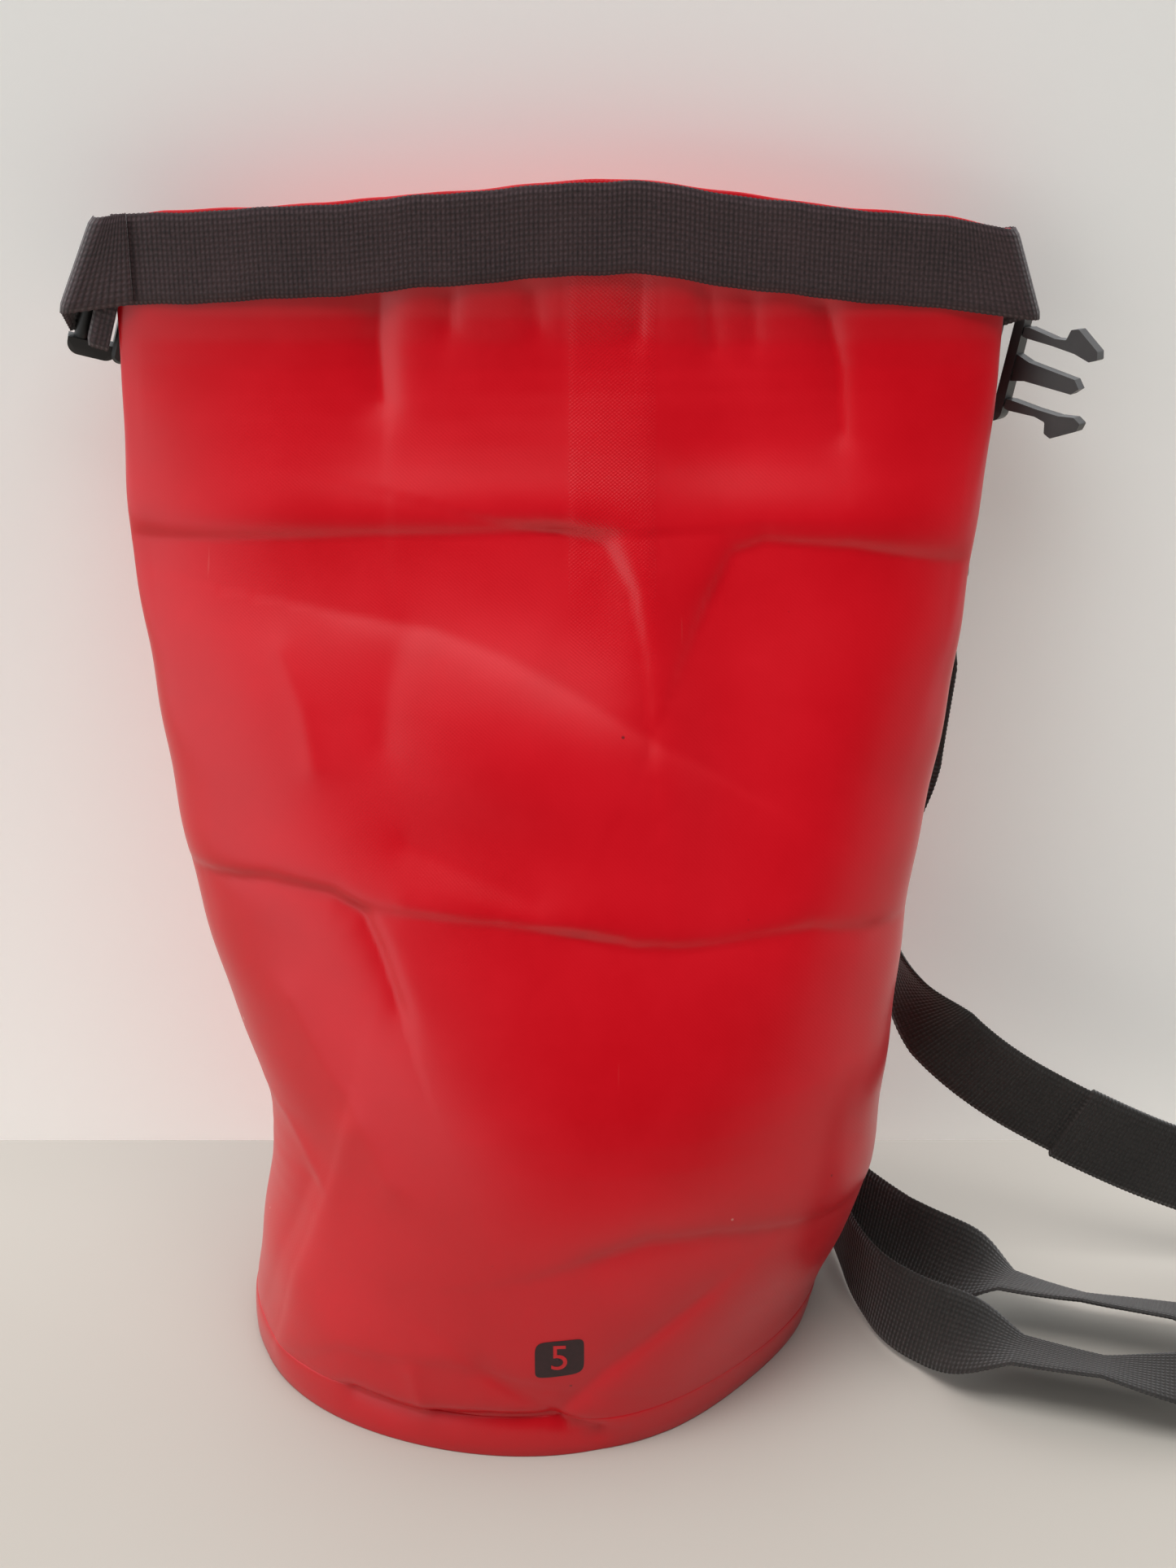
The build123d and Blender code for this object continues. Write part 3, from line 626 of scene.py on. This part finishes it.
disc_rings = np.linspace(1.0, 0.0, 18)[:-1]
disc_low, disc_crown, disc_inset = 0.35, 0.5, 0.7
foot_outline = sheet_points(turns, np.full_like(turns, 0.5), -disc_inset)
middle = foot_outline.mean(axis=0)
disc_points = [middle + (foot_outline - middle) * share + (0, 0, disc_low + disc_crown * (1 - share ** 4))
               for share in disc_rings]
disc_points = np.concatenate(disc_points + [middle[None] + (0, 0, disc_low + disc_crown)])
disc_faces = tube_faces(len(disc_rings), around)
last = (len(disc_rings) - 1) * around
for k in range(around):
    disc_faces.append((last + k, last + (k + 1) % around, last + around))
disc = mesh_piece("foot_disc", disc_points * mm, disc_faces, tarpaulin, disc_points[:, :2] * mm)
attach(disc, "bag")
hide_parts("base_disc")

# ---------------------------------------------------------------- closure strip
# A 25 mm webbing sewn round the front of the mouth over a plastic stiffener. Its ends fold back on
# themselves round the buckle's bars.
# Painted reflection: the reddish cast in both tones of this black webbing stands in for red light bounced
# onto it from the bag.
closure_black = webbing_material("woven_closure_polypropylene", "#1b0f11", "#483436", 1.35 * mm, 0.7)
mouth_x, mouth_y, mouth_half_width, mouth_half_depth = 13.2, 52.0, 124.3, 6.5
front_y = 47.9  # where the strip's flat ends lie
half_webbing = 12.5


def folded_edges(sewn, fold, radius, quarters=(0, 1), inward=None):
    """Upper and lower edge points of a strip that turns to the rear at a slanting fold."""
    edges = []
    for turn in np.linspace(quarters[0], quarters[1], 9) * pi / 2:
        back = np.array((0, radius * (1 - cos(turn)), 0))
        pair = []
        for start, end in zip(sewn, fold):
            way = (end - start) / np.linalg.norm(end - start) if turn <= pi / 2 else -inward
            pair.append(end - way * radius * (1 - sin(turn)) + back)
        edges.append(pair)
    return edges


def between_edges(edges):
    """The middle line between pairs of edge points, and the width's direction along it."""
    edges = np.array(edges, float)
    line = edges.mean(axis=1) * mm
    along = travelled(line)
    return line, list(zip(along / along[-1], (edges[:, 0] - edges[:, 1]) * mm))


# The right end is folded on a slant and runs back behind the mouth.
right_lean = radians(19.6)
right_across = np.array((-sin(right_lean), 0, cos(right_lean)))
right_out = np.array((cos(right_lean), 0, sin(right_lean)))
right_mid = np.array((140.3, 52.0, 306.8))
strip_clear, strip_width, fold_radius, fold_tail = 1.75, 25.5, 4.1, 26
strip_x = np.linspace(-111.6, 120, 90)
strip_turn = (strip_x - mouth_x) / (mouth_half_width + strip_clear)
strip_y = mouth_y - (mouth_half_depth + strip_clear) * np.sqrt(1 - strip_turn ** 2)
strip_y = np.where(strip_x > 60, np.minimum(strip_y, front_y), strip_y)
strip_high = (eased(strip_x, strip_top[:, 0], strip_top[:, 1]) + 0.2 * np.sin(strip_x * 0.17 + 0.6)
              + 0.1 * np.sin(strip_x * 0.43))
strip_edges = [(np.array((x, y, z)), np.array((x, y, z - strip_width)))
               for x, y, z in zip(strip_x, strip_y, strip_high)]
right_fold = (np.array((140.1, front_y, 322.0)), np.array((148.8, front_y, 296.4)))
strip_edges += folded_edges(strip_edges[-1], right_fold, fold_radius)
strip_edges += folded_edges(strip_edges[-1], right_fold, fold_radius, (1.1, 2), -right_out)
tail_end = right_mid - fold_tail * right_out + (0, 5.4, 0)
strip_edges.append((tail_end + half_webbing * right_across, tail_end - half_webbing * right_across))
strip = webbing_mesh("closure_strip", *between_edges(strip_edges), closure_black, "mouth",
                     thickness=1.4 * mm, sheared=True)
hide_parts("closure_webbing", "right_tab")
# A thin black polypropylene stiffener is sewn in between the strip and the hem.
stiff, stiff_tree, stiff_shader = start_material("sheet_polypropylene")
stiff_shader.inputs["Base Color"].default_value = linear("#2b2a2a")
stiff_cloud = add_node(stiff_tree, "ShaderNodeTexNoise", {"Scale": 40.0, "Detail": 4.0})
stiff_gloss = add_node(stiff_tree, "ShaderNodeMapRange", {"To Min": 0.3, "To Max": 0.5},
                       {"Value": stiff_cloud.outputs[0]})
stiff_tree.links.new(stiff_gloss.outputs[0], stiff_shader.inputs["Roughness"])
stiff_behind, stiff_inset = 1.17, 3.5
stiff_edges = [(top + (0, stiff_behind, -stiff_inset), bottom + (0, stiff_behind, stiff_inset))
               for top, bottom in strip_edges[4:86]]
stiffener = webbing_mesh("strip_stiffener", *between_edges(stiff_edges), stiff, "mouth",
                         thickness=0.45 * mm, step=2.0 * mm, rib_relief=0.0, sheared=True)
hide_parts("stiffener")


def in_plane(origin, x_way, y_way, path):
    """Points of a path in a plane, in metres."""
    origin, x_way, y_way = (np.array(v, float) for v in (origin, x_way, y_way))
    return [tuple((origin + u * x_way + v * y_way) * mm) for u, v in path]


def rounded(path, radius, steps=7):
    """A path in a plane with its corners rounded, each by its own radius."""
    points = [np.array(p, float) for p in path]
    line = [points[0]]
    for before, corner, after, r in zip(points, points[1:], points[2:], radius):
        back, on = before - corner, after - corner
        back_length, on_length = np.linalg.norm(back), np.linalg.norm(on)
        back, on = back / back_length, on / on_length
        half = np.arccos(np.clip(back @ on, -1, 1)) / 2
        cut = r / np.tan(half)
        middle_way = (back + on) / np.linalg.norm(back + on)
        centre = corner + middle_way * r / np.sin(half)
        start, end = corner + back * cut, corner + on * cut
        for share in np.linspace(0, 1, steps):
            chord = start * (1 - share) + end * share - centre
            line.append(centre + chord / np.linalg.norm(chord) * r)
    line.append(points[-1])
    return [tuple(p) for p in line]


# The left end turns round the bar of the socket half. The bar leans, so the end comes back lower.
bar_radius, bar_clear, half_thick = 2.2, 0.4, 0.75
wrap = bar_radius + bar_clear + half_thick
bar_lean = radians(17.0)
left_bar = np.array((-120.5, 58.5, 302.2))
bar_way = np.array((sin(bar_lean), 0, cos(bar_lean)))
out_way = np.array((-cos(bar_lean), 0, sin(bar_lean)))
back_way = np.array((0, 1.0, 0))
left_sewn = (np.array((-106.8, front_y, 326.8)), np.array((-106.8, front_y, 301.3)))
left_fold = (np.array((-116.6, front_y, 325.2)), np.array((-128.3, front_y, 298.3)))
left_edges = [left_sewn] + folded_edges(left_sewn, left_fold, 4.0)
for u, v in rounded([(wrap, -4), (wrap, wrap), (-wrap, wrap), (-wrap, -8.9), (-9.2, -8.9)],
                    [wrap - 0.05, wrap - 0.05, 1.6]):
    if v > -4 or u < 0:
        turned_to = left_bar + out_way * u + back_way * v
        left_edges.append((turned_to + bar_way * 12.6, turned_to - bar_way * 12.6))
left_tab = webbing_mesh("left_fold", *between_edges(left_edges), closure_black, "mouth", sheared=True)
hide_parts("left_tab")

# The loop behind the right end, which the plug half's bar hangs in.
male_lean = radians(10.0)
male_bar = (136.0, 68.5, 281.5)
male_out = (cos(male_lean), 0, -sin(male_lean))
male_across = (sin(male_lean), 0, cos(male_lean))
male_path = rounded([(-36, -8.6), (wrap, -wrap), (wrap, wrap + 0.7), (-36, -4.5)], [wrap - 0.6, wrap - 0.3])
male_strap = webbing_mesh("plug_fold", in_plane(male_bar, male_out, (0, 1, 0), male_path),
                          [(0, male_across), (1, male_across)], closure_black, "mouth")
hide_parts("male_strap")

# ---------------------------------------------------------------- buckle, rings and slider
# Injection-moulded acetal, dyed black through: a fine spark-eroded grain with a soft gloss, and a
# little paler where edges have been rubbed.
def acetal_material():
    """Moulded black acetal: fine grain, soft gloss, edges rubbed paler."""
    # The grain is drawn 0.6 mm wide so that it shows, and handling has left smears 17 mm wide.
    material, tree, shader = start_material("moulded_black_acetal")
    where = add_node(tree, "ShaderNodeTexCoord")
    grain = add_node(tree, "ShaderNodeTexNoise", {"Scale": 1800.0, "Detail": 3.0},
                     {"Vector": where.outputs["Object"]})
    smear = add_node(tree, "ShaderNodeTexNoise", {"Scale": 60.0, "Detail": 5.0, "Roughness": 0.7},
                     {"Vector": where.outputs["Object"]})
    edge = add_node(tree, "ShaderNodeNewGeometry")
    rub = add_node(tree, "ShaderNodeMapRange", {"From Min": 0.52, "From Max": 0.62},
                   {"Value": edge.outputs["Pointiness"]})
    worn = add_node(tree, "ShaderNodeMath", links={0: rub.outputs[0], 1: smear.outputs[0]},
                    operation="MULTIPLY")
    tone = add_node(tree, "ShaderNodeValToRGB", links={0: worn.outputs[0]})
    tone.color_ramp.elements[0].color = linear("#1b1a1a")
    tone.color_ramp.elements[1].color = linear("#4a4645")
    tree.links.new(tone.outputs[0], shader.inputs["Base Color"])
    gloss = add_node(tree, "ShaderNodeMapRange",
                     {"From Min": 0.3, "From Max": 0.7, "To Min": 0.34, "To Max": 0.5},
                     {"Value": smear.outputs[0]})
    tree.links.new(gloss.outputs[0], shader.inputs["Roughness"])
    bump = add_node(tree, "ShaderNodeBump", {"Strength": 0.25, "Distance": 0.05 * mm},
                    {"Height": grain.outputs[0]})
    tree.links.new(bump.outputs[0], shader.inputs["Normal"])
    shader.inputs["IOR"].default_value = 1.48
    return material


acetal = acetal_material()
for node in ("female_buckle", "male_buckle", "upper_prong", "lower_prong", "upper_ring", "lower_ring",
             "strap_slider"):
    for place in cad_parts[node].material_slots:
        place.material = acetal


# ---------------------------------------------------------------- rear anchors
# Each is a patch of tarpaulin welded on the back, which holds a loop of webbing with its ring.
def turned(turn):
    """Across, up and outwards for an anchor turned about the bag."""
    angle = radians(turn)
    c, s = cos(angle), sin(angle)
    return np.array((-c, s, 0)), np.array((0, 0, 1.0)), np.array((s, c, 0))


def back_face(x, height):
    """How far back the bag's back lies, in millimetres."""
    x0, y0, a, b = level_at(height)
    turn = -np.arccos(np.clip((x - x0) / a, -0.999, 0.999))
    return sheet_points(turn, height)[..., 1]


ring_bar, ring_height, ring_clear = 3.6, 15.0, 0.55
half_fold = 0.8  # half the thickness of the strap where it is folded
patch_corner, patch_outer, patch_inner, patch_edge = 6, 0.95, 0.05, 0.4
for label, place, turn, size, rise, loop_top in (
        ("upper", (118.0, 57.5, 230.0), 23.0, (27, 44), 22, (-1.5, 34)),
        ("lower", (90.0, 45.0, 59.0), 42.0, (36, 40), 20, (-3.0, 30))):
    across, up, out = turned(turn)
    origin = np.array(place)
    gap = ring_bar / 2 + ring_clear + half_thick
    loop_path = rounded([(loop_top[0] - 1.7, loop_top[1]), (-gap, 3), (-gap, -gap), (gap, -gap), (gap, 3),
                         loop_top], [4, gap - 0.02, gap - 0.02, 4])
    loop = webbing_mesh(label + "_loop", in_plane(origin, out, up, loop_path), [(0, across), (1, across)],
                        closure_black, "bag")
    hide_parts(label + "_anchor")
    gap = ring_bar / 2 + ring_clear + half_fold
    low = ring_bar - ring_height
    fold_path = rounded([(-1.0, low - 13), (-gap, low - 4), (-gap, low + gap), (gap, low + gap),
                         (gap, low - 4), (1.0, low - 13)], [3, gap - 0.02, gap - 0.02, 3])
    ring_body = "ring_top" if label == "upper" else "ring_low"
    fold = webbing_mesh(label + "_strap_fold", in_plane(origin, out, up, fold_path),
                        [(0, across), (1, across)], strap_black, ring_body)
    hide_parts("strap_" + label + "_loop")

    # The patch follows the bag's back, with rounded corners and an edge pressed thin.
    face = []
    half_width, half_height = size[0] / 2, size[1] / 2
    for v in np.linspace(-1, 1, 26) * half_height:
        into_corner = max(0, abs(v) - half_height + patch_corner) / patch_corner
        half = half_width - patch_corner * (1 - np.sqrt(max(1 - into_corner ** 2, 0)))
        spots = [origin + across * w * half + up * (rise + v) for w in np.linspace(-1, 1, 30)]
        face.append([(x, back_face(x, z), z) for x, _, z in spots])
    face = np.array(face)
    normal = np.cross(np.gradient(face, axis=0), np.gradient(face, axis=1))
    normal /= np.linalg.norm(normal, axis=2)[:, :, None]
    if normal[10, 10, 1] < 0:
        normal = -normal
    rows_p, cols_p = face.shape[:2]
    full = np.ones((rows_p, cols_p, 1))
    full[0], full[-1], full[:, 0], full[:, -1] = patch_edge, patch_edge, patch_edge, patch_edge
    inner = face + normal * patch_inner
    outer = inner + normal * (patch_outer - patch_inner) * full
    points = np.concatenate([outer.reshape(-1, 3), inner.reshape(-1, 3)])
    count = rows_p * cols_p
    faces = []
    for r in range(rows_p - 1):
        for k in range(cols_p - 1):
            a = r * cols_p + k
            faces.append((a, a + 1, a + cols_p + 1, a + cols_p))
            faces.append((a + count, a + count + cols_p, a + count + cols_p + 1, a + count + 1))
    number = np.arange(count).reshape(rows_p, cols_p)
    border = np.concatenate([number[0], number[1:, -1], number[-1, -2::-1], number[-2:0:-1, 0]]).tolist()
    for a, b in zip(border, border[1:] + border[:1]):
        faces.append((a, a + count, b + count, b))
    patch = mesh_piece(label + "_weld_patch", points * mm, faces, tarpaulin, points[:, (0, 2)] * mm)
    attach(patch, "bag")
    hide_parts(label + "_patch")

# ---------------------------------------------------------------- room
# A pale matt table against a pale painted wall, under one broad ceiling lamp and in the light of
# pale surroundings.
def room_material(name, colour, patch_colour, scale):
    """Matt paint, with clouds of a second tone where it is thicker; scale is clouds to the metre."""
    material, tree, shader = start_material(name)
    where = add_node(tree, "ShaderNodeTexCoord")
    cloud = add_node(tree, "ShaderNodeTexNoise", {"Scale": scale, "Detail": 3.0},
                     {"Vector": where.outputs["Object"]})
    tone = add_node(tree, "ShaderNodeValToRGB", links={0: cloud.outputs[0]})
    tone.color_ramp.elements[0].color = linear(colour)
    tone.color_ramp.elements[1].color = linear(patch_colour)
    tree.links.new(tone.outputs[0], shader.inputs["Base Color"])
    shader.inputs["Roughness"].default_value = 0.6
    return material, tree, shader


def painted_glow_for_camera(tree, shader, axis, near, far, low, high):
    """Painted light: a glow on a room surface that only camera rays see, graded along one axis; it sheds no
    light on the bag.
    """
    seen = add_node(tree, "ShaderNodeLightPath")
    place = add_node(tree, "ShaderNodeTexCoord")
    spot = add_node(tree, "ShaderNodeSeparateXYZ", links={0: place.outputs["Object"]})
    rise = add_node(tree, "ShaderNodeMapRange",
                    {"From Min": near, "From Max": far, "To Min": low, "To Max": high},
                    {"Value": spot.outputs[axis]}, interpolation_type="SMOOTHSTEP")
    glow = add_node(tree, "ShaderNodeMath", links={0: seen.outputs["Is Camera Ray"], 1: rise.outputs[0]},
                    operation="MULTIPLY")
    shader.inputs["Emission Color"].default_value = linear("#f2f3ee")
    tree.links.new(glow.outputs[0], shader.inputs["Emission Strength"])


reach, wall_front, wall_top = 1.5, 82 * mm, 1.6
board, board_tree, board_shader = room_material("painted_board", "#bdb6ab", "#c3bdb3", 6.0)
# Painted light: the table glows a little more towards the wall, lifting the shade there.
painted_glow_for_camera(board_tree, board_shader, "Y", -0.14, 0.08, 0.0, 0.03)
floor = mesh_piece("table", [(-reach, -reach, 0), (reach, -reach, 0), (reach, reach, 0),
                             (-reach, reach, 0)], [(0, 1, 2, 3)], board)
plaster, plaster_tree, plaster_shader = room_material("painted_plaster", "#f3f1ed", "#f6f4f0", 3.0)
# Painted light: the wall glows most at its foot, lifting the shade there, and less higher up.
painted_glow_for_camera(plaster_tree, plaster_shader, "Z", 0.0, 0.45, 0.27, 0.06)
# The wall is one-sided, so the bag can also be looked at from behind, and it holds back no light.
side_seen = add_node(plaster_tree, "ShaderNodeNewGeometry")
clear = add_node(plaster_tree, "ShaderNodeBsdfTransparent")
one_sided = add_node(plaster_tree, "ShaderNodeMixShader",
                     links={0: side_seen.outputs["Backfacing"], 1: plaster_shader.outputs[0],
                            2: clear.outputs[0]})
plaster_tree.links.new(one_sided.outputs[0], plaster_tree.nodes["Material Output"].inputs["Surface"])
backdrop = mesh_piece("wall", [(-reach, wall_front, 0), (reach, wall_front, 0),
                               (reach, wall_front, wall_top), (-reach, wall_front, wall_top)],
                      [(0, 1, 2, 3)], plaster)
backdrop.visible_diffuse = backdrop.visible_glossy = backdrop.visible_shadow = False

lamp = bpy.data.lights.new("ceiling", "AREA")
lamp.shape = "RECTANGLE"
lamp.size, lamp.size_y = 1.2, 0.8
lamp.energy = 12.5
lamp.color = linear("#fbfdff")[:3]
ceiling = bpy.data.objects.new("ceiling", lamp)
ceiling.location = (-0.05, -0.35, 1.5)
aim = Vector((0, 0, 0.15)) - ceiling.location
ceiling.rotation_euler = aim.to_track_quat("-Z", "Y").to_euler()
ceiling.visible_glossy = False
bpy.context.scene.collection.objects.link(ceiling)

# Pale surroundings, with two wide darker areas in front of the bag: each has its middle's
# direction and how bright it is there.
world = bpy.data.worlds.new("room")
bpy.context.scene.world = world
world.use_nodes = True
sky = world.node_tree
way = add_node(sky, "ShaderNodeTexCoord")
surroundings, seen_directly = 1.25, 0.95
light_levels = []
for middle_way, darkest in (((0.23, -0.86, 0.454), 0.05), ((0.69, -0.58, 0.42), 0.35)):
    facing = add_node(sky, "ShaderNodeVectorMath", {1: middle_way}, {0: way.outputs["Generated"]},
                      operation="DOT_PRODUCT")
    light_levels.append(add_node(
        sky, "ShaderNodeMapRange",
        {"From Min": 0.58, "From Max": 0.84, "To Min": surroundings, "To Max": darkest},
        {"Value": facing.outputs["Value"]}, interpolation_type="SMOOTHSTEP").outputs[0])
dim = add_node(sky, "ShaderNodeMath", links={0: light_levels[0], 1: light_levels[1]}, operation="MINIMUM")
sky_seen = add_node(sky, "ShaderNodeLightPath")
sky_level = add_node(sky, "ShaderNodeMapRange", {"To Max": seen_directly},
                     {"Value": sky_seen.outputs["Is Camera Ray"], "To Min": dim.outputs[0]})
sky.nodes["Background"].inputs["Color"].default_value = linear("#f6f8fa")
sky.links.new(sky_level.outputs[0], sky.nodes["Background"].inputs["Strength"])
bpy.context.scene.view_settings.view_transform = "Standard"
